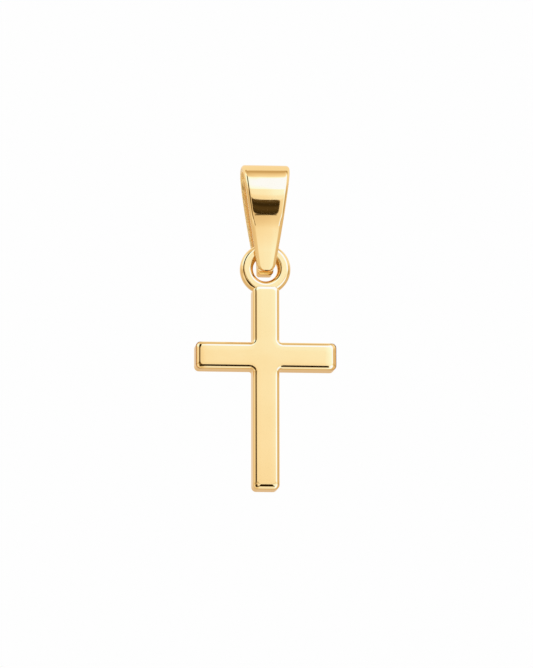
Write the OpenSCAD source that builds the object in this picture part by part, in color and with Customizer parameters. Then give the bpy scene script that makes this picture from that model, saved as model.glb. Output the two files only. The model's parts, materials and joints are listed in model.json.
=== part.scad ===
// Cross pendant of yellow gold: a plain Latin cross, cast with a round eye, that hangs
// in a tapered teardrop bail. The origin is the top of the bail's opening, where a chain
// bears, the front faces -Y and the cross hangs down along -Z.

/* [Cross] */
// Width of the upright and of the arms, seen from the front
bar_width = 1.7; // [1.4:0.1:2.2]
// Thickness of both bars, front to back
bar_depth = 1.55; // [1.3:0.05:1.9]
// Span of the arms, from tip to tip
arm_span = 8.8; // [6:0.2:12]
// Drop from the eye's centre to the middle of the arms
arm_drop = 5.55; // [4.5:0.15:7]
// Drop from the eye's centre to the foot
foot_drop = 13.95; // [11:0.05:18]
// Radius of the bars' soft front edges
front_round = 0.28; // [0.15:0.01:0.3]
// Radius of the bars' back edges
back_round = 0.15; // [0.1:0.01:0.3]
// Radius of the bars' corners, seen from the front
corner_round = 0.32; // [0.31:0.01:0.5]

/* [Eye] */
// Outer diameter of the eye
eye_outer_d = 3.15; // [2.8:0.05:3.5]
// Diameter of the hole through the eye
eye_hole_d = 1.55; // [1.5:0.05:1.75]
// Thickness of the eye, front to back
eye_depth = 0.9; // [0.8:0.05:1.1]
// Radius of the eye's four edges
eye_round = 0.3; // [0.15:0.01:0.34]
// Flat of the eye left bare between its hole and the upright's top end
eye_ledge = 0.3; // [0.2:0.05:0.4]

/* [Bail] */
// Thickness of the strip that the bail is folded from
strip_thickness = 0.45; // [0.35:0.05:0.6]
// Width of the strip at the crown
crown_width = 3.0; // [2.4:0.1:3.6]
// Width of the strip at its tip
tip_width = 0.96; // [0.9:0.02:1.1]
// Curve of the strip's two long edges, 1 when they are straight
edge_curve = 1.22; // [1:0.02:1.4]
// Depth of the opening at the crown, front to back
opening_depth = 2.1; // [1.8:0.1:2.6]
// Height of the opening, from the crown to the seat under the eye
opening_height = 5.65; // [4.8:0.05:7]
// Height of the soldered end below the seat
tip_height = 0.9; // [0.8:0.05:1.1]
// Radius of the strip's outer edges
strip_round = 0.25; // [0.1:0.05:0.25]
// Width of the end that passes through the eye
return_width = 0.84; // [0.7:0.02:0.88]
// How far the front tip stops short of the returned end
tip_step = 0.15; // [0.05:0.05:0.3]
// Width and depth of the solder seam behind the front tip
seam_width = 0.1; // [0.06:0.02:0.16]

/* [Fit] */
// Room left round the eye as it turns in the bail
eye_clearance = 0.2; // [0.16:0.02:0.24]

/* [Hidden] */
$fn = 64;
// Reach of a cutting shape past the metal
over = 1;

// The eye's section at its top, and how far it reaches as it turns about its own middle
eye_outer_r = eye_outer_d / 2;
eye_hole_r = eye_hole_d / 2;
eye_band = eye_outer_r - eye_hole_r;
eye_reach = eye_round + norm([eye_depth / 2 - eye_round, eye_band / 2 - eye_round]);

// Inner radii of the bail, and the height of the axis that the eye turns about
crown_r = opening_depth / 2;
seat_r = eye_reach + eye_clearance;
crown_z = -crown_r;
hinge_z = seat_r - opening_height;
eye_z = hinge_z - (eye_outer_r + eye_hole_r) / 2;
arms_z = eye_z - arm_drop;
foot_z = eye_z - foot_drop;
upright_top_z = eye_z - eye_hole_r - eye_ledge;

// One large arc joins the crown's circle to the seat's circle on each leaf and touches both
fall = crown_z - hinge_z;
leaf_r = (fall * fall / (crown_r - seat_r) + crown_r + seat_r) / 2;
leaf_y = leaf_r - crown_r;
leaf_angle = atan2(fall, leaf_y);

// Outside of the bail
bail_top_z = strip_thickness;
bail_bottom_z = -opening_height - tip_height;
end_round = strip_round + 0.05;

// Outline of a bar's section: front edges of one radius at the top, back edges at the bottom
module edge_cut(r) {
    difference() {
        translate([-r, -r])
            square(2 * r);
        translate([-r, -r])
            circle(r = r);
    }
}

module half_section(reach, depth, front, back) {
    difference() {
        translate([0, -depth / 2])
            square([reach, depth]);
        translate([reach, depth / 2])
            edge_cut(front);
        translate([reach, -depth / 2])
            mirror([0, 1])
                edge_cut(back);
    }
}

module full_section(width) {
    half_section(width / 2, bar_depth, front_round, back_round);
    mirror([1, 0])
        half_section(width / 2, bar_depth, front_round, back_round);
}

// A bar lying in the XY plane, its front up, with the same soft edge all round
module bar(length_x, length_y) {
    corner_x = length_x / 2 - corner_round;
    corner_y = length_y / 2 - corner_round;
    rotate([90, 0, 0])
        linear_extrude(2 * corner_y, center = true)
            full_section(length_x);
    rotate([90, 0, 90])
        linear_extrude(2 * corner_x, center = true)
            full_section(length_y);
    for (quarter = [0 : 3]) {
        side_x = (quarter == 0 || quarter == 3) ? 1 : -1;
        side_y = (quarter < 2) ? 1 : -1;
        translate([side_x * corner_x, side_y * corner_y, 0])
            rotate([0, 0, 90 * quarter])
                rotate_extrude(angle = 90)
                    half_section(corner_round, bar_depth, front_round, back_round);
    }
}

// The eye lies in the same plane and is turned from one rounded section
module eye() {
    rotate_extrude()
        difference() {
            translate([eye_hole_r, 0])
                half_section(eye_band, eye_depth, eye_round, eye_round);
            for (side = [0, 1])
                mirror([0, side])
                    translate([eye_hole_r, eye_depth / 2])
                        mirror([1, 0])
                            edge_cut(eye_round);
        }
}

module cross() {
    upright_length = upright_top_z - foot_z;
    color([0.95, 0.8, 0.45])
        rotate([90, 0, 0]) {
            translate([0, foot_z + upright_length / 2, 0])
                bar(bar_width, upright_length);
            translate([0, arms_z, 0])
                bar(arm_span, bar_width);
            translate([0, eye_z, 0])
                eye();
        }
}

// Half width of the bail's strip at a height
function strip_half_width(z) =
    let(share = (bail_top_z - z) / (bail_top_z - bail_bottom_z))
    (tip_width + (crown_width - tip_width) * (1 - pow(share, edge_curve))) / 2;

// Half of the bail's outline seen from the side, from its top to its bottom: each row is
// a point on the outer face, as y and z, and the direction that the face looks in
crown_steps = 12;
leaf_steps = 8;
end_steps = 4;
seat_edge_y = (seat_r + strip_thickness) * cos(leaf_angle);
seat_edge_z = hinge_z - (seat_r + strip_thickness) * sin(leaf_angle);
end_centre_z = bail_bottom_z + end_round;
end_centre_y = seat_edge_y
    - (seat_edge_z - end_centre_z) * tan(leaf_angle) - end_round / cos(leaf_angle);

function row(centre_y, centre_z, radius, angle) =
    [centre_y + radius * cos(angle), centre_z + radius * sin(angle), cos(angle), sin(angle)];

half_outline = concat(
    [for (i = [0.5 : crown_steps])
        row(0, crown_z, crown_r + strip_thickness, 90 * (1 - i / crown_steps))],
    [for (i = [0 : leaf_steps])
        row(-leaf_y, crown_z, leaf_r + strip_thickness, -leaf_angle * i / leaf_steps)],
    [for (i = [0 : end_steps])
        row(end_centre_y, end_centre_z, end_round,
            -leaf_angle - (90 - leaf_angle) * i / end_steps)]
);

// Across the strip: flat outer face with a round edge on both sides. Each row is how far a
// point lies in from the strip's side, which side that is, and how deep below the face
edge_steps = 5;
across = [for (side = [-1, 1], i = [0 : edge_steps])
    let(turn = side < 0 ? 90 * (1 - i / edge_steps) : 90 * i / edge_steps)
    [strip_round * (1 - sin(turn)), side, strip_round * (1 - cos(turn))]];

// The bail before it is opened: both leaves, the crown and all that lies between them
module closed_bail() {
    rows = len(half_outline);
    columns = len(across);
    points = [for (face = [-1, 1], r = half_outline, c = across)
        [c[1] * (strip_half_width(r[1]) - c[0]), face * (r[0] - c[2] * r[2]), r[1] - c[2] * r[3]]];
    function at(face, i, j) = (face * rows + i) * columns + j;
    faces = concat(
        [for (i = [0 : rows - 2], j = [0 : columns - 2])
            [at(0, i, j), at(0, i, j + 1), at(0, i + 1, j + 1), at(0, i + 1, j)]],
        [for (i = [0 : rows - 2], j = [0 : columns - 2])
            [at(1, i, j), at(1, i + 1, j), at(1, i + 1, j + 1), at(1, i, j + 1)]],
        [for (j = [0 : columns - 2])
            [at(0, 0, j), at(1, 0, j), at(1, 0, j + 1), at(0, 0, j + 1)]],
        [for (j = [0 : columns - 2])
            [at(0, rows - 1, j), at(0, rows - 1, j + 1), at(1, rows - 1, j + 1), at(1, rows - 1, j)]],
        [for (i = [0 : rows - 2])
            [at(0, i, 0), at(0, i + 1, 0), at(1, i + 1, 0), at(1, i, 0)]],
        [for (i = [0 : rows - 2])
            [at(0, i, columns - 1), at(1, i, columns - 1), at(1, i + 1, columns - 1),
                at(0, i + 1, columns - 1)]]
    );
    polyhedron(points, faces);
}

// A shape drawn as y and z, made as wide as the bail and more
module across_bail(width) {
    rotate([90, 0, 90])
        linear_extrude(width, center = true)
            children();
}

// What the chain and the eye pass through: round at the crown and at the seat, and
// between them as deep as the two leaves leave it
module opening() {
    cut_width = crown_width + 2 * over;
    leaf_arc = [for (i = [0 : leaf_steps])
        row(-leaf_y, crown_z, leaf_r, -leaf_angle * i / leaf_steps)];
    across_bail(cut_width)
        translate([0, crown_z])
            circle(r = crown_r);
    across_bail(cut_width)
        translate([0, hinge_z])
            circle(r = seat_r);
    across_bail(cut_width)
        polygon(concat(
            [for (i = [0 : leaf_steps]) [leaf_arc[i][0], leaf_arc[i][1]]],
            [for (i = [leaf_steps : -1 : 0]) [-leaf_arc[i][0], leaf_arc[i][1]]]
        ));
}

// Beside the returned end, so that the eye swings clear on both sides of it, down to where
// its hole is wider than the strip
module eye_room() {
    side_reach = crown_width / 2;
    room_z = eye_z + eye_hole_r / 4;
    for (side = [0, 1])
        mirror([side, 0, 0])
            translate([return_width / 2, -seat_r, room_z])
                cube([side_reach, 2 * seat_r, hinge_z - room_z]);
}

// Behind the front tip: the returned end shows below the tip, with a seam between the two
module tip_cut() {
    seam_y = -seat_edge_y + strip_thickness + (seat_edge_z - bail_bottom_z) * tan(leaf_angle);
    front_y = -crown_r - strip_thickness - over;
    step_z = bail_bottom_z + tip_step;
    low_z = bail_bottom_z - over;
    across_bail(crown_width + 2 * over)
        polygon([
            [front_y, low_z],
            [front_y, step_z],
            [seam_y - seam_width / 2, step_z],
            [seam_y, step_z + seam_width],
            [seam_y + seam_width / 2, step_z],
            [seam_y + seam_width / 2, low_z]
        ]);
}

module bail() {
    color([0.97, 0.84, 0.52])
        difference() {
            closed_bail();
            opening();
            eye_room();
            tip_cut();
        }
}

cross();
bail();
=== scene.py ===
import json
import math

import bpy
import numpy as np
from mathutils import Matrix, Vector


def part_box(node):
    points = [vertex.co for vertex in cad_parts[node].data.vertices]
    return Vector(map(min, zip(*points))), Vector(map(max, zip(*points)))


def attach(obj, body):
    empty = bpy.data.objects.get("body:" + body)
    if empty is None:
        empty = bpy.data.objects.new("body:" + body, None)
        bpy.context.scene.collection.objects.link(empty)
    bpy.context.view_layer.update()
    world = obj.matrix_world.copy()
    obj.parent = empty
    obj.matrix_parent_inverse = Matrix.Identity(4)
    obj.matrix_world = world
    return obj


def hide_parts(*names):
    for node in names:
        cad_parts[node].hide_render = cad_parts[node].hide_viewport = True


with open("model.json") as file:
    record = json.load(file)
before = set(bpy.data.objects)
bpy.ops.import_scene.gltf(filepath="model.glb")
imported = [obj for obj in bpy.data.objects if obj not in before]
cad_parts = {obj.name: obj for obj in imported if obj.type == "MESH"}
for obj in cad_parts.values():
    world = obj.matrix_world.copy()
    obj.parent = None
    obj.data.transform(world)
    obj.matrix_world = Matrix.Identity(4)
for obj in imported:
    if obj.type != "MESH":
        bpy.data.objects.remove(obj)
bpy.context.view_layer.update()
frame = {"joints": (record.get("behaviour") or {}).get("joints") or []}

# Camera
# It looks up at the front of the pendant from its left, from so far away that the two
# sides of each bar run parallel. The middle of the eye comes out at eye_pixel. All sizes
# below are in millimetres.
MM = 0.001
PHOTO_SIZE = (533, 668)
mm_per_pixel = 0.0625
camera_azimuth = math.radians(-6)
camera_elevation = math.radians(-9)
camera_roll = math.radians(0.1)
camera_distance = 450
eye_outer_r = 1.575
eye_pixel = (265.05, 269.6)

cross_low, cross_high = (np.array(corner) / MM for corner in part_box("cross"))
eye_z = cross_high[2] - eye_outer_r
to_camera = np.array([
    math.sin(camera_azimuth) * math.cos(camera_elevation),
    -math.cos(camera_azimuth) * math.cos(camera_elevation),
    math.sin(camera_elevation),
])
level = np.array([math.cos(camera_azimuth), math.sin(camera_azimuth), 0])
to_right = level * math.cos(camera_roll) - np.cross(to_camera, level) * math.sin(camera_roll)
to_top = np.cross(to_camera, to_right)
aim = (
    np.array([0, 0, eye_z])
    + to_right * (PHOTO_SIZE[0] / 2 - eye_pixel[0]) * mm_per_pixel
    - to_top * (PHOTO_SIZE[1] / 2 - eye_pixel[1]) * mm_per_pixel
)

camera_data = bpy.data.cameras.new("camera")
camera_data.sensor_fit = "HORIZONTAL"
camera_data.sensor_width = 36
camera_data.lens = camera_data.sensor_width * camera_distance / (PHOTO_SIZE[0] * mm_per_pixel)
camera_data.clip_start = 0.01
camera_data.clip_end = 20
camera = bpy.data.objects.new("camera", camera_data)
camera_place = aim + to_camera * camera_distance
camera.matrix_world = Matrix([
    [to_right[i], to_top[i], to_camera[i], camera_place[i] * MM] for i in range(3)
] + [[0, 0, 0, 1]])
bpy.context.scene.collection.objects.link(camera)
bpy.context.scene.camera = camera


# Bail
# One tapered strip of gold, folded into a teardrop loop over the top. Its narrow end goes
# through the eye and is soldered behind the front tip, which stops a little short of it.
bail_low, bail_high = (np.array(corner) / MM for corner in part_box("bail"))
hinge_z = frame["joints"][0]["pos_m"][2] / MM
seat_z = -5.65
tip_half_width = 0.48
edge_curve = 1.22
tip_step = 0.15
inner_edge_round = 0.08
# The front tip: its square end is bevelled, and its two corners are round
tip_end_bevel = 0.09
tip_end_thinning = 1.2
tip_corner_round = 0.4
# The returned end: half its width inside and outside, and the degrees over which it narrows
return_half_width = 0.42
end_half_width = 0.47
narrowing_turn = 25
end_corner_round = 0.06
end_edge_round = 0.08
# The rounds and the turn of its underside, the point where it ends, and how far the inner
# face runs on past its circle
end_round = 0.3
turn_round = 0.12
turn_y = -0.236
turn_end = -128
outer_end = (-0.549, -6.338)
inner_end = -140
inner_tail = 0.3
# How the outer face bends: the directions it faces, in degrees up from level, and its radii
bend_facing = (-10.78, -2, 2, 18, 26, 90)
bend_radius = (24, 18, 3, 3, 1.35, 1.35)
# The outer edges' round is a length and a share of the half width, less some at the crown,
# and never more than a set share of the half width. On the lower leaf it is mostly a bevel
edge_round = 0.13
edge_round_share = 0.09
crown_round_less = 0.06
most_round = 0.85
bevel_share = 0.9
# How deep each of the two powers crowns the outer face, and the share that is lost at the crown
crowning_deep = 0.02
crown_flat_share = 0.85
# A height, and the way on from it over which the crown, the bevel and the lower face set in
crown_fade = (-1.2, 1.5)
bevel_fade = (-2.8, -0.9)
flat_fade = (-2.9, -1.35)
# How many sections there are along one leaf, the front tip and the returned end, and how
# closely the tip's crowd together
leaf_stations = 170
tip_stations = 55
tip_crowding = 1.6
return_stations = 96
# How many points the bend of a leaf, the rounds of the returned end and the seat are worked
# out with, before the sections are spaced along them
bend_points = 600
end_round_points = 12
seat_points = 40
# Where the strip's sides have points, as shares of the way from the outer round to the inner
side_shares = (0.06, 0.35, 0.65, 0.94)

strip_thickness = bail_high[2]
crown_half_width = bail_high[0]
crown_r = bail_high[1] - strip_thickness
crown_z = -crown_r
bottom_z = bail_low[2]
tip_z = bottom_z + tip_step
seat_r = hinge_z - seat_z
fall = crown_z - hinge_z
leaf_r = (fall * fall / (crown_r - seat_r) + crown_r + seat_r) / 2
leaf_y = leaf_r - crown_r
leaf_angle = math.degrees(math.atan2(fall, leaf_y))
seat_edge = np.array([
    (seat_r + strip_thickness) * math.cos(math.radians(leaf_angle)),
    hinge_z - (seat_r + strip_thickness) * math.sin(math.radians(leaf_angle)),
])


def arc(centre, radius, start, end, count):
    """Points y, z on a circle, from one angle to another in degrees, up from +Y"""
    angle = np.radians(np.linspace(start, end, count))
    return np.array(centre) + radius * np.stack([np.cos(angle), np.sin(angle)], axis=-1)


def spaced(rows, count):
    """The same rows of numbers, set an equal way apart along their first two, y and z"""
    steps = np.linalg.norm(np.diff(rows[:, :2], axis=0), axis=1)
    run = np.concatenate([[0], np.cumsum(steps)])
    at = np.linspace(0, run[-1], count)
    return np.stack([np.interp(at, run, column) for column in rows.T], axis=-1)


def fade(values, start, way):
    """0 at the start, 1 a way on from it, and straight between them"""
    return np.clip((values - start) / way, 0, 1)


def half_width(z):
    """Half of the strip's width: it falls from the crown to the tip by a power of the depth"""
    share = np.clip((bail_high[2] - z) / (bail_high[2] - bottom_z), 0, 1)
    return tip_half_width + (crown_half_width - tip_half_width) * (1 - share**edge_curve)


def leaf_rows():
    """One leaf from the crown's top down to the seat. Each row is a point y, z on the outer
    face and the point under it on the inner face. The outer face turns through the directions
    it faces, with the radius that belongs to each, and is then fitted to its two ends"""
    facing = np.radians(np.linspace(90, -leaf_angle, bend_points))
    middle = (facing[1:] + facing[:-1]) / 2
    step = (facing[0] - facing[1]) * np.interp(np.degrees(middle), bend_facing, bend_radius)
    y = np.concatenate([[0], np.cumsum(step * np.sin(middle))])
    z = np.concatenate([[0], np.cumsum(step * np.cos(middle))])
    y_scale = seat_edge[0] / y[-1]
    z_scale = (strip_thickness - seat_edge[1]) / z[-1]
    outer = np.stack([y * y_scale, strip_thickness - z * z_scale], axis=-1)
    outward = np.stack([np.cos(facing) / y_scale, np.sin(facing) / z_scale], axis=-1)
    outward /= np.linalg.norm(outward, axis=1)[:, None]
    return np.hstack([outer, outer - outward * strip_thickness])


def folded_strip():
    """The strip's outer and inner face as two rows of points y, z that pair up, from the
    front tip over the crown to the end that is turned back under the front tip"""
    leaf = spaced(leaf_rows(), leaf_stations)
    cos_leaf = math.cos(math.radians(leaf_angle))
    sin_leaf = math.sin(math.radians(leaf_angle))
    down = np.array([-sin_leaf, -cos_leaf, -sin_leaf, -cos_leaf])
    tip_length = (seat_edge[1] - tip_z) / cos_leaf
    share = 1 - np.linspace(0, 1, tip_stations + 1)[:-1, None] ** tip_crowding
    front_tip = leaf[-1] + down * tip_length * share
    front = np.concatenate([front_tip, leaf[:0:-1]]) * [-1, 1, -1, 1]
    loop = np.concatenate([front, leaf[:-1]])

    end_z = bottom_z + end_round
    end_y = seat_edge[0] - (seat_edge[1] - end_z) * sin_leaf / cos_leaf - end_round / cos_leaf
    outer = np.concatenate([
        [seat_edge],
        arc((end_y, end_z), end_round, -leaf_angle, -90, end_round_points),
        arc((turn_y, bottom_z + turn_round), turn_round, -90, turn_end, end_round_points),
        [outer_end],
    ])
    inner = arc((0, hinge_z), seat_r, -leaf_angle, inner_end, seat_points)
    last_angle = math.radians(inner_end)
    onward = inner[-1] + inner_tail * np.array([math.sin(last_angle), -math.cos(last_angle)])
    inner = np.concatenate([inner, [onward]])
    return (
        np.concatenate([loop[:, :2], spaced(outer, return_stations)]),
        np.concatenate([loop[:, 2:], spaced(inner, return_stations)]),
    )


def strip_section(face_steps=12, round_steps=10, inner_round_steps=6, inner_face_steps=5):
    """Half of the strip's section, from the middle of its outer face round one edge to the
    middle of its inner face. Each row is a point, as the shares of the outer half width, the
    inner half width, the outer round and the inner round in its place across the strip, and
    the shares of the thickness, the outer round and the inner round in its depth. The last
    two are what turns the outer round into a bevel, across and in depth"""
    rows = []
    for share in np.linspace(0, 1, face_steps)[:-1]:
        rows.append([share, 0, -share, 0, 0, 0, 0, 0, 0])
    for share in np.linspace(0, 1, round_steps):
        sine, cosine = math.sin(share * math.pi / 2), math.cos(share * math.pi / 2)
        rows.append([1, 0, sine - 1, 0, 0, 1 - cosine, 0, share - sine, share - 1 + cosine])
    for share in side_shares:
        rows.append([1 - share, share, 0, 0, share, 1 - share, -share, 0, 0])
    for turn in np.radians(np.linspace(0, 90, inner_round_steps)):
        rows.append([0, 1, 0, math.cos(turn) - 1, 1, 0, math.sin(turn) - 1, 0, 0])
    for share in np.linspace(1, 0, inner_face_steps)[1:]:
        rows.append([0, share, 0, -share, 1, 0, 0, 0, 0])
    return np.array(rows)


def grid_quads(rows, columns, closed):
    """Faces between the neighbours of a grid of points, its columns joined in a ring, and
    its rows too if it is closed"""
    row = np.arange(rows if closed else rows - 1)[:, None]
    column = np.arange(columns)[None, :]
    next_row = (row + 1) % rows
    next_column = (column + 1) % columns
    corners = [
        row * columns + column,
        row * columns + next_column,
        next_row * columns + next_column,
        next_row * columns + column,
    ]
    return np.stack([np.broadcast_to(c, (len(row), columns)) for c in corners], axis=-1).reshape(-1, 4)


def new_piece(name, points, faces):
    """A piece from points in millimetres"""
    mesh = bpy.data.meshes.new(name)
    mesh.from_pydata((np.asarray(points).reshape(-1, 3) * MM).tolist(), [], faces)
    mesh.update()
    piece = bpy.data.objects.new(name, mesh)
    bpy.context.scene.collection.objects.link(piece)
    return piece


def bail_points():
    """The strip's section carried along its path. Towards the front tip the sections narrow
    on a quarter circle, which rounds that end off, and their round edges turn into bevels.
    The outer face is crowned by a second and a fourth power of the way out from its middle,
    and lower down by the fourth alone"""
    outer, inner = folded_strip()
    inward = inner - outer
    thickness = np.linalg.norm(inward, axis=1)
    inward /= thickness[:, None]
    stations = len(outer)

    from_tip = np.concatenate([[0], np.cumsum(np.linalg.norm(np.diff(outer, axis=0), axis=1))])

    def end_inset(radius):
        """How far a quarter circle at the front tip draws each section in"""
        near = np.clip(1 - from_tip / radius, 0, 1)
        return radius * (1 - np.sqrt(1 - near**2))

    returned = np.arange(stations) >= stations - return_stations
    swept = np.degrees(np.arctan2(inner[:, 1] - hinge_z, inner[:, 0]))
    narrowing = fade(swept, -leaf_angle, -narrowing_turn)
    narrowing = np.where(returned, narrowing * narrowing * (3 - 2 * narrowing), 0)
    outer_half = half_width(outer[:, 1])
    outer_half += (end_half_width - outer_half) * narrowing
    inner_half = half_width(inner[:, 1])
    inner_half += (return_half_width - inner_half) * narrowing
    height = outer[:, 1:]
    crown = fade(height, *crown_fade) ** 2
    outer_round = (edge_round + edge_round_share * outer_half)[:, None] - crown_round_less * crown
    outer_round += (end_edge_round - outer_round) * narrowing[:, None]
    bevelled = fade(height, *bevel_fade)
    bevel = bevel_share * bevelled**2 * (3 - 2 * bevelled)

    low = fade(outer[:, 1], bottom_z + end_corner_round, -end_corner_round)
    corner_inset = np.where(
        returned, end_corner_round * (1 - np.sqrt(1 - low**2)), end_inset(tip_corner_round))
    outer_half = outer_half - corner_inset
    inner_half = inner_half - corner_inset
    outer_round = np.minimum(outer_round, most_round * outer_half[:, None])
    inner_round = np.minimum(inner_edge_round, most_round * inner_half[:, None])
    drawn_in = tip_end_bevel * np.clip(1 - from_tip / tip_end_bevel, 0, 1)
    outer = outer + inward * drawn_in[:, None]
    flatter = fade(outer[:, 1:], *flat_fade)
    thickness = thickness - drawn_in * tip_end_thinning

    section = strip_section()
    mirrored = section * [-1, -1, -1, -1, 1, 1, 1, -1, 1]
    section = np.concatenate([section, mirrored[-2:0:-1]])
    across = (
        section[:, 0] * outer_half[:, None]
        + section[:, 1] * inner_half[:, None]
        + section[:, 2] * outer_round
        + section[:, 3] * inner_round
        + section[:, 7] * outer_round * bevel
    )
    depth = (
        section[:, 4] * thickness[:, None]
        + section[:, 5] * outer_round
        + section[:, 6] * inner_round
        + section[:, 8] * outer_round * bevel
    )
    share = np.clip(np.abs(across) / outer_half[:, None], 0, 1)
    crowning = crowning_deep * (share**2 * (1 - flatter) + share**4) * (1 - crown_flat_share * crown)
    depth = depth + crowning * (1 - depth / thickness[:, None])
    points = np.empty(across.shape + (3,))
    points[..., 0] = across
    points[..., 1:] = outer[:, None, :] + depth[..., None] * inward[:, None, :]
    return points


strip = bail_points()
stations, ring = strip.shape[:2]
quads = grid_quads(stations, ring, closed=False).tolist()
tip_cap = list(range(ring))[::-1]
end_cap = list(range((stations - 1) * ring, stations * ring))
bail = new_piece("bail_strip", strip, quads + [tip_cap, end_cap])


def fuse(piece, other):
    """Joins two pieces of metal into one closed mesh, an exact union, and removes the second"""
    union = piece.modifiers.new("fuse", "BOOLEAN")
    union.operation = "UNION"
    union.solver = "EXACT"
    union.use_self = True
    union.object = other
    bpy.context.view_layer.update()
    evaluated = piece.evaluated_get(bpy.context.evaluated_depsgraph_get())
    mesh = bpy.data.meshes.new_from_object(evaluated)
    piece.modifiers.clear()
    piece.data = mesh
    bpy.data.objects.remove(other)


# In degrees, for both pieces
softest_crease = 38


def smooth(piece):
    """Shades a piece smooth, apart from edges that turn by more than the softest crease"""
    mesh = piece.data
    mesh.polygons.foreach_set("use_smooth", np.ones(len(mesh.polygons), dtype=bool))
    mesh.set_sharp_from_angle(angle=math.radians(softest_crease))


def ball(name, centre, radii, rings=24, around=48):
    """An ellipsoid: the cosine and sine of the polar angle, turned about the X axis, times
    the three radii"""
    polar = np.radians(np.linspace(0, 180, rings + 2))[1:-1, None]
    turn = np.radians(np.linspace(0, 360, around, endpoint=False))[None, :]
    points = np.stack([
        np.broadcast_to(np.cos(polar), (rings, around)),
        np.sin(polar) * np.cos(turn),
        np.sin(polar) * np.sin(turn),
    ], axis=-1) * radii + centre
    faces = grid_quads(rings, around, closed=False).tolist()
    faces += [list(range(around))[::-1], list(range((rings - 1) * around, rings * around))]
    return new_piece(name, points, faces)


# A thin run of solder closes the seam behind the front tip
solder_centre = (0, -0.47, -6.34)
solder_radii = (0.34, 0.05, 0.045)
solder = ball("solder", solder_centre, solder_radii)
fuse(bail, solder)
smooth(bail)


class Wire:
    """One output in a node tree, so that shader maths reads as plain expressions"""

    def __init__(self, tree, socket=None):
        self.tree = tree
        self.socket = socket

    def make(self, kind, settings, inputs, output=0):
        """Adds a node: its type, its settings, then the values or links of its sockets"""
        node = self.tree.nodes.new(kind)
        for name, value in settings.items():
            setattr(node, name, value)
        for key, value in inputs.items():
            if isinstance(value, Wire):
                self.tree.links.new(value.socket, node.inputs[key])
            else:
                node.inputs[key].default_value = value
        return Wire(self.tree, node.outputs[output])

    def split(self, vector):
        """The three numbers of a vector"""
        node = self.tree.nodes.new("ShaderNodeSeparateXYZ")
        self.tree.links.new(vector.socket, node.inputs[0])
        return [Wire(self.tree, socket) for socket in node.outputs]

    def maths(self, operation, *values):
        return self.make("ShaderNodeMath", {"operation": operation}, dict(enumerate(values)))

    def __add__(self, other):
        return self.maths("ADD", self, other)

    def __sub__(self, other):
        return self.maths("SUBTRACT", self, other)

    def __rsub__(self, other):
        return self.maths("SUBTRACT", other, self)

    def __mul__(self, other):
        return self.maths("MULTIPLY", self, other)

    __radd__ = __add__
    __rmul__ = __mul__

    def step(self, low, high):
        """0 below low, 1 above high and a smooth rise between them"""
        return self.make(
            "ShaderNodeMapRange", {"interpolation_type": "SMOOTHSTEP"},
            {"Value": self, "From Min": low, "From Max": high})

    def rise(self, low, high, amount):
        """0 below low, the amount above high and a straight run between them"""
        return self.make(
            "ShaderNodeMapRange", {},
            {"Value": self, "From Min": low, "From Max": high, "To Max": amount})

    def band(self, low, high, soft):
        """1 between low and high, fading to 0 outside them"""
        return self.step(low - soft, low + soft) * (1 - self.step(high - soft, high + soft))

    def toward(self, other, share):
        """This value where share is 0, the other where it is 1"""
        return self + (other - self) * share

    def blend(self, colour, other):
        """Mixes two colours by this value"""
        return self.make(
            "ShaderNodeMix", {"data_type": "RGBA"}, {0: self, 6: colour, 7: other}, output=2)


def along(position, stops):
    """A value that runs straight from stop to stop, each a position and its value"""
    total = stops[0][1]
    for (low, before), (high, after) in zip(stops, stops[1:]):
        total = position.rise(low, high, after - before) + total
    return total


# Both pieces are solid yellow gold, brought to a mirror polish. The wheel leaves a faint
# waviness, hairlines along its stroke, and here and there a slightly softer gloss.
gold = (0.955, 0.69, 0.32)
deeper_gold = (0.945, 0.67, 0.3)
# A warmer, more orange gold between the bail's leaves: painted light, standing in for gold light
# bounced between them
painted_bounce_gold = (0.99, 0.7, 0.27)
edge_tint = (1, 0.92, 0.8)
# How many clouds and waves there are to a millimetre, and the part of the noise's range over
# which the gold gets deeper and a hairline gets duller
cloud_scale = 0.35
wave_scale = 0.9
deeper_span = (0.3, 0.7)
hairline_span = (0.5, 0.8)
glossiest = 0.025
cloudy_dulling = 0.02
hairline_dulling = 0.02
hairline_depth = 0.02
wave_height = 0.02
bump_strength = 0.04
# Between the leaves of the bail
inner_roughness = 0.18
inner_matt = 0.5
inner_edge = 0.06


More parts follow.
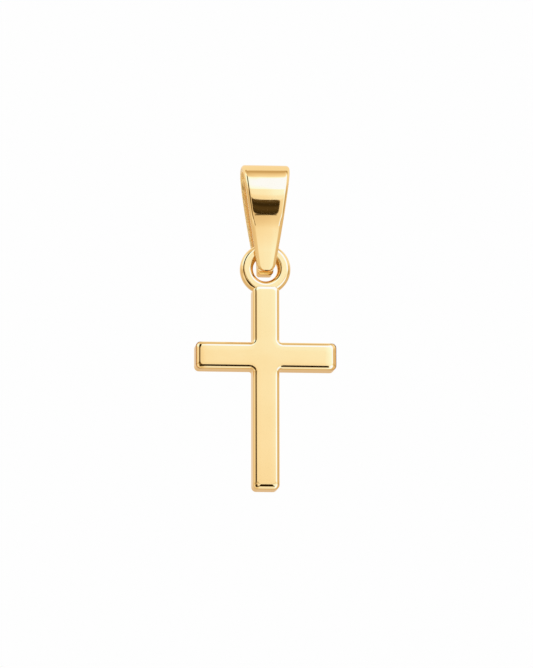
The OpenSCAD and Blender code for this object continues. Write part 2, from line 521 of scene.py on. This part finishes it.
def polished_gold(name, stroke, hollow=None):
    """A mirror polish in gold. stroke is how many hairlines there are to a millimetre along X,
    Y and Z. Within hollow, given as heights and depths from the middle, the metal is duller
    and less of a mirror, and its colour is a warmer gold: painted light bounced between the
    faces there"""
    material = bpy.data.materials.new(name)
    material.use_nodes = True
    tree = material.node_tree
    shader = tree.nodes["Principled BSDF"]
    shader.inputs["Metallic"].default_value = 1
    shader.inputs["Specular Tint"].default_value = (*edge_tint, 1)
    wire = Wire(tree)
    place = wire.make("ShaderNodeTexCoord", {}, {}, output="Object")
    _, y, z = wire.split(place)

    def noise(scale, detail):
        """Noise with about this many lumps to a millimetre along X, Y and Z"""
        stretched = wire.make(
            "ShaderNodeVectorMath", {"operation": "MULTIPLY"},
            {0: place, 1: [value / MM for value in scale]})
        return wire.make(
            "ShaderNodeTexNoise", {}, {"Vector": stretched, "Scale": 1, "Detail": detail})

    cloudy = noise([cloud_scale] * 3, detail=2)
    waves = noise([wave_scale] * 3, detail=1)
    hairlines = noise(stroke, detail=3)
    colour = cloudy.step(*deeper_span).blend((*gold, 1), (*deeper_gold, 1))
    duller = hairlines.step(*hairline_span)
    roughness = glossiest + cloudy_dulling * cloudy + hairline_dulling * duller
    if hollow:
        depth = along(z * (1 / MM), hollow) - y.maths("ABSOLUTE", y * (1 / MM))
        # Between the leaves the metal is duller and less metallic, and its colour is painted a warmer
        # gold for light bounced there
        dull_and_bounce_painted = depth.step(-inner_edge, inner_edge)
        roughness = roughness.toward(inner_roughness, dull_and_bounce_painted)
        metallic = 1 - inner_matt * dull_and_bounce_painted
        tree.links.new(metallic.socket, shader.inputs["Metallic"])
        colour = dull_and_bounce_painted.blend(colour, (*painted_bounce_gold, 1))
    tree.links.new(colour.socket, shader.inputs["Base Color"])
    tree.links.new(roughness.socket, shader.inputs["Roughness"])
    height = waves + hairline_depth * hairlines
    bump = wire.make(
        "ShaderNodeBump", {},
        {"Height": height, "Strength": bump_strength, "Distance": wave_height * MM})
    tree.links.new(bump.socket, shader.inputs["Normal"])
    return material


# The wheel doesn't reach in between the leaves of the bail, so the metal there is duller; its
# gold there is also painted warmer, as painted light bounced between the leaves. Heights, and
# how far front and back of the middle that space goes
between_leaves = (
    (-6.1, 0), (-5.9, 0.85), (-5.2, 0.9), (-4, 1.05), (-2.6, 1.26), (-1.6, 1.35),
    (-0.9, 1.25), (-0.3, 1), (0.05, 0.6), (0.2, 0.2), (0.3, 0),
)
bail.data.materials.clear()
bail.data.materials.append(polished_gold("bail_gold", (3, 40, 40), between_leaves))
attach(bail, "bail")
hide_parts("bail")


# Cross
# A plain Latin cross of gold, cast in one with the round eye at its head. The front edges
# are polished to a soft round, the back edges are left crisper, and the bars stand proud of
# the eye.
upright_half_width = 0.825
arm_half_height = 0.85
arm_drop = 5.55
top_drop = 1.17
# The front edges' soft round, a quarter of a superellipse, and the hair by which the face
# behind it is pillowed
shoulder_in = 0.28
shoulder_deep = 0.2
shoulder_power = 1.7
pillow_in = 0.26
pillow_deep = 0.0014
# The flat bevel in which the round ends under the arms and the foot
under_share = 0.85
bevel_in = 0.154
bevel_deep = 0.032
bevel_slope = 0.23
foot_stretch = 1.2
# How the face rolls back at the arms' ends, and at the top towards the eye
end_roll_in = 0.38
end_roll_deep = 0.037
top_roll_in = 0.22
top_roll_deep = 0.045
back_edge_round = 0.15
# Corners seen from the front, and how fast they tighten or open out as they move in
corner_round = 0.3
corner_tightening = 0.35
inner_corner_round = 0.14
inner_corner_opening = 1.4
# Rings of points on the back edge, the front edge and the start of the face, the place of
# the first one on the face, and how far a supporting ring keeps from an edge
back_rings = 9
front_rings = 29
face_rings = 7
first_ring_share = 0.02
support = 0.02
arms_z = eye_z - arm_drop
upright_top_z = eye_z - top_drop
foot_z = cross_low[2]
arm_half_span = cross_high[0]
bar_half_depth = cross_high[1]


def cross_corners():
    """The outline's twelve corners, anticlockwise from the front: x, z, +1 where it juts out
    or -1 where it goes in, and the directions in degrees that its two sides face"""
    w = upright_half_width
    span = arm_half_span
    over, under = arms_z + arm_half_height, arms_z - arm_half_height
    right, top, left, foot = 0, 90, 180, 270
    return np.array([
        [w, foot_z, 1, foot, foot + 90],
        [w, under, -1, right, right - 90],
        [span, under, 1, foot, foot + 90],
        [span, over, 1, right, top],
        [w, over, -1, top, right],
        [w, upright_top_z, 1, right, top],
        [-w, upright_top_z, 1, top, left],
        [-w, over, -1, left, top],
        [-span, over, 1, top, left],
        [-span, under, 1, left, foot],
        [-w, under, -1, foot, left],
        [-w, foot_z, 1, left, foot],
    ], dtype=float)


def cross_ring(inset, pillow, front, corner_steps=9, side_steps=36):
    """The cross's outline, moved in by inset and then by pillow: each corner is a quarter
    circle between its two sides. Outer corners tighten as they move in, and inner ones open
    out. On the undersides the shoulder ends in a flat bevel. The top end rolls off towards
    the eye, above a steep step"""
    corners = cross_corners()
    juts = corners[:, 2]
    start = np.radians(corners[:, 3])
    end = np.radians(corners[:, 4])
    facing = np.stack([np.cos(start) + np.cos(end), np.sin(start) + np.sin(end)], axis=-1)
    radius = np.where(
        juts > 0,
        corner_round - corner_tightening * inset,
        -(inner_corner_round + inner_corner_opening * (inset + pillow)))
    at_top = under = inset
    if front:
        forward = (1 - (1 - inset / shoulder_in) ** shoulder_power) ** (1 / shoulder_power)
        depth = shoulder_deep * (1 - forward)
        at_top = top_roll_in * (1 - math.sqrt(min(depth / top_roll_deep, 1))) + pillow
        bevel = max(bevel_deep - depth, 0) / bevel_slope
        under = under_share * (min(inset, bevel_in) + bevel) + pillow
    x, z = corners[:, 0], corners[:, 1]
    at_ends = inset + pillow * end_roll_in / pillow_in
    drawn_in = np.stack([
        np.where(np.abs(x) == arm_half_span, at_ends, inset + pillow),
        np.select(
            [z == foot_z, z == arms_z - arm_half_height, z == upright_top_z],
            [foot_stretch * under, under, at_top], inset + pillow),
    ], axis=-1)
    centre = corners[:, :2] - facing * (drawn_in + radius[:, None])
    share = np.linspace(0, 1, corner_steps)
    angle = start[:, None] * (1 - share) + end[:, None] * share
    turned = np.stack([np.cos(angle), np.sin(angle)], axis=-1)
    arcs = centre[:, None, :] + radius[:, None, None] * turned
    share = np.linspace(0, 1, side_steps + 1)[1:-1, None]
    sides = arcs[:, -1:] * (1 - share) + np.roll(arcs[:, :1], -1, axis=0) * share
    return np.concatenate([arcs, sides], axis=1).reshape(-1, 2)


def cross_points():
    """The outline at each depth, from the back face to the front face: a round back edge,
    the side, a front shoulder that is a quarter of a superellipse, and the start of the
    face, which is pillowed by a hair. Towards the ends of the arms the front rolls back"""
    turn = np.radians(np.linspace(0, 90, back_rings))
    front_turn = np.radians(np.linspace(0, 90, front_rings))
    across = np.cos(front_turn) ** (2 / shoulder_power)
    forward = np.sin(front_turn) ** (2 / shoulder_power)
    share = np.concatenate([[first_ring_share], np.linspace(0, 1, face_rings)[1:]])
    inset = np.concatenate([
        [back_edge_round + support],
        back_edge_round * (1 - np.sin(turn)),
        [0, 0, 0],
        shoulder_in * (1 - across),
        np.full(len(share), shoulder_in),
    ])
    pillow = np.concatenate([np.zeros(len(inset) - len(share)), pillow_in * share])
    side_back = bar_half_depth - back_edge_round
    side_front = shoulder_deep - bar_half_depth
    y = np.concatenate([
        [bar_half_depth],
        bar_half_depth - back_edge_round * (1 - np.cos(turn)),
        [side_back - support, 0, side_front + support],
        side_front + pillow_deep - shoulder_deep * forward,
        pillow_deep * (1 - share) ** 2 - bar_half_depth,
    ])
    outlines = np.stack([cross_ring(*row) for row in zip(inset, pillow, y <= side_front)])
    points = np.empty(outlines.shape[:2] + (3,))
    points[..., 0] = outlines[..., 0]
    points[..., 2] = outlines[..., 1]
    rolled = np.abs(outlines[..., 0]) - arm_half_span + shoulder_in + end_roll_in
    rolled = np.clip(rolled / end_roll_in, 0, None)
    rolled = np.where(rolled < 1, rolled**2, 2 * rolled - 1)
    points[..., 1] = y[:, None] + end_roll_deep * rolled * (y < side_front)[:, None]
    return points


body = cross_points()
depths, outline = body.shape[:2]
quads = grid_quads(depths, outline, closed=False).tolist()
back_face = list(range(outline))[::-1]
front_face = list(range((depths - 1) * outline, depths * outline))
cross = new_piece("cross_body", body, quads + [back_face, front_face])

# The eye: a round ring with a rounded section, its hole just clear of the bail's end
eye_hole_r = 0.775
eye_half_depth = 0.45
eye_edge_round = 0.3
# The angle of the crease round its front flat, and how close a second ring of points is to it
eye_crease = 5
crease_support = 0.004


def eye_points(around=192, corner_steps=9):
    """A rounded rectangle turned about the Y axis, with a faint crease round its front flat"""
    middle = (eye_outer_r + eye_hole_r) / 2
    half_band = (eye_outer_r - eye_hole_r) / 2
    flat_across = half_band - eye_edge_round
    flat_deep = eye_half_depth - eye_edge_round
    spans = ((0, 90), (90, 180), (180, 270 - eye_crease), (270 + eye_crease, 360))
    turn = np.radians(np.concatenate([np.linspace(*span, corner_steps) for span in spans]))
    side_x = np.repeat([1, -1, -1, 1], corner_steps)
    side_y = np.repeat([1, 1, -1, -1], corner_steps)
    radius = middle + flat_across * side_x + eye_edge_round * np.cos(turn)
    y = flat_deep * side_y + eye_edge_round * np.sin(turn)
    inner_end, outer_start = 3 * corner_steps - 1, 3 * corner_steps
    held = [radius[inner_end] + crease_support, radius[outer_start] - crease_support]
    radius = np.insert(radius, outer_start, held)
    y = np.insert(y, outer_start, [y[inner_end], y[outer_start]])
    angle = np.radians(np.linspace(0, 360, around, endpoint=False))[:, None]
    return np.stack([
        radius * np.cos(angle),
        np.broadcast_to(y, (around, len(y))),
        eye_z + radius * np.sin(angle),
    ], axis=-1)


ring_points = eye_points()
eye = new_piece("eye", ring_points, grid_quads(*ring_points.shape[:2], closed=True).tolist())
fuse(cross, eye)
smooth(cross)
cross.data.materials.clear()
cross.data.materials.append(polished_gold("cross_gold", (40, 40, 3)))
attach(cross, "cross")
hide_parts("cross")


# Floor and light
# A plain pale floor, and a soft studio: a large white panel above the front, pale walls,
# and the dark gaps between them that draw the thin dark lines on polished metal.
floor_z = -160
floor_half = 3000
floor_colour = (0.85, 0.85, 0.85, 1)
floor_roughness = 0.9
floor_corners = [
    (x * floor_half, y * floor_half, floor_z) for x, y in ((-1, -1), (1, -1), (1, 1), (-1, 1))
]
floor = new_piece("floor", floor_corners, [[0, 1, 2, 3]])
pale = bpy.data.materials.new("pale_floor")
pale.use_nodes = True
pale_shader = pale.node_tree.nodes["Principled BSDF"]
pale_shader.inputs["Base Color"].default_value = floor_colour
pale_shader.inputs["Roughness"].default_value = floor_roughness
floor.data.materials.append(pale)
# The gold mirrors the lower half of the studio, not this floor
floor.visible_glossy = False

world = bpy.data.worlds.new("studio")
bpy.context.scene.world = world
world.use_nodes = True
studio = world.node_tree
studio.nodes.clear()
wire = Wire(studio)
direction = wire.make("ShaderNodeTexCoord", {}, {}, output="Generated")
x, y, z = wire.split(direction)
elevation = wire.maths("ARCSINE", z) * math.degrees(1)
azimuth = wire.maths("ARCTAN2", x, 0 - y) * math.degrees(1)

# How bright the studio is in front of the pendant, by degrees up from level
upwards = (
    (-79, 0.9), (-76, 1), (-50, 1), (-16, 1.2), (-12.6, 1.17), (-9, 1.1), (-5, 1.03), (-3, 0.87),
    (-1, 0.78), (6, 0.9), (6.4, 1.05), (7.8, 1.03), (8.2, 1.08), (8.5, 1.11), (8.75, 1.1),
    (9, 1.16), (9.3, 1.19), (12.6, 1.22), (15.5, 1.2), (16.2, 1.42), (18, 1.53), (22, 1.62),
    (27, 1.7), (38, 1.7), (43, 1.62), (46, 1.5), (48, 1.35), (50.5, 1.02), (53, 0.9), (62, 0.72),
    (68, 0.62), (73, 0.5), (80, 0.48), (84, 0.7), (87, 1),
)
# The share of it by degrees to the right of straight in front, which fades out overhead
overhead = (65, 80)
sideways = (
    (-85, 0.68), (-75, 0.85), (-50, 0.85), (-21, 0.8), (-11, 0.88), (-3.6, 0.94), (5.5, 0.98),
    (6.5, 1.02), (7.6, 1.07), (12, 1.1), (19, 1.15), (28, 1.25), (36, 1.6), (46, 1.6), (56, 0.64),
    (85, 0.5), (90, 0.73),
)
# Behind the pendant, by degrees up from level, past this many degrees to either side
behind = ((-20, 0.6), (-9, 0.63), (0, 0.7), (9, 0.77), (20, 1))
side_end = 96
side_soft = 4
# No part of the studio is brighter than this
brightest = 1.66
# The low and high end of a field and the softness of its edges, across and then up. First a
# tall gap on the left, with how bright it is by degrees up: black above level, dim just
# below it, and nearly as pale as a wall further down
gap_field = ((-50, -24, 1.5), (-95, 46, 3))
gap = ((-17, 0.7), (-14, 0.24), (-3, 0.15), (3, 0.015), (8, 0.015), (9.3, 0.1), (20, 0.015))
# Dark strips below level and how bright they are. The first two draw the lines under the
# bars, and the last one carries them round the lower left corners
dark_strips = (
    (0.015, (-52, 18, 2.5), (-27.5, -15.5, 0.8)),
    (0.015, (-52, -5, 2.5), (-40, -17, 0.8)),
    (0.04, (-36, -12, 3), (-24, -6.5, 2)),
)
# A dark card, straight in front: its middle, its half sizes, the power that squares it off,
# its soft edge, and its own bands by degrees up
card_middle = (1.2, 3.2)
card_half = (9.8, 3.3)
card_power = 6
card_edge = (0.75, 1.05)
card = (
    (0.3, 0.02), (1, 0.035), (2.4, 0.057), (3.2, 0.05), (3.9, 0.026), (4.6, 0.03), (5.6, 0.067),
)
# Dim light is warmer than bright light, as gold repeated between polished faces is. How much
# stronger red is where it is dimmest, the most red and green there is, and how blue follows
# the light where it is dim and where it is bright
dim_red = 1.5
most_red = 1.03
most_green = 1.41
dim_blue = 0.36
bright_blue_power = 2.1
backdrop = (0.991, 0.991, 0.991, 1)

light = along(elevation, upwards) * along(azimuth, sideways).toward(1, elevation.step(*overhead))
light = light.toward(along(elevation, behind), 1 - azimuth.band(-side_end, side_end, side_soft))
light = light.maths("MINIMUM", light, brightest)
light = light.toward(
    along(elevation, gap), azimuth.band(*gap_field[0]) * elevation.band(*gap_field[1]))
for dim, across, up in dark_strips:
    light = light.toward(dim, azimuth.band(*across) * elevation.band(*up))
card_across = wire.maths("ABSOLUTE", (azimuth - card_middle[0]) * (1 / card_half[0]))
card_up = wire.maths("ABSOLUTE", (elevation - card_middle[1]) * (1 / card_half[1]))
card_reach = (
    wire.maths("POWER", card_across, card_power) + wire.maths("POWER", card_up, card_power)
)
light = light.toward(along(elevation, card), 1 - card_reach.step(*card_edge))
bright_blue = light.maths("POWER", light, bright_blue_power)
warm = wire.make("ShaderNodeCombineColor", {}, {
    "Red": light.maths("MINIMUM", light * (dim_red - (dim_red - 1) * light), most_red),
    "Green": light.maths("MINIMUM", light, most_green),
    "Blue": light.maths("MAXIMUM", light * (dim_blue + (1 - dim_blue) * light), bright_blue),
})
seen = wire.make("ShaderNodeLightPath", {}, {}, output="Is Camera Ray")
brightness = seen.blend(warm, backdrop)
background = studio.nodes.new("ShaderNodeBackground")
output = studio.nodes.new("ShaderNodeOutputWorld")
studio.links.new(brightness.socket, background.inputs["Color"])
studio.links.new(background.outputs[0], output.inputs["Surface"])

bpy.context.scene.view_settings.view_transform = "Standard"
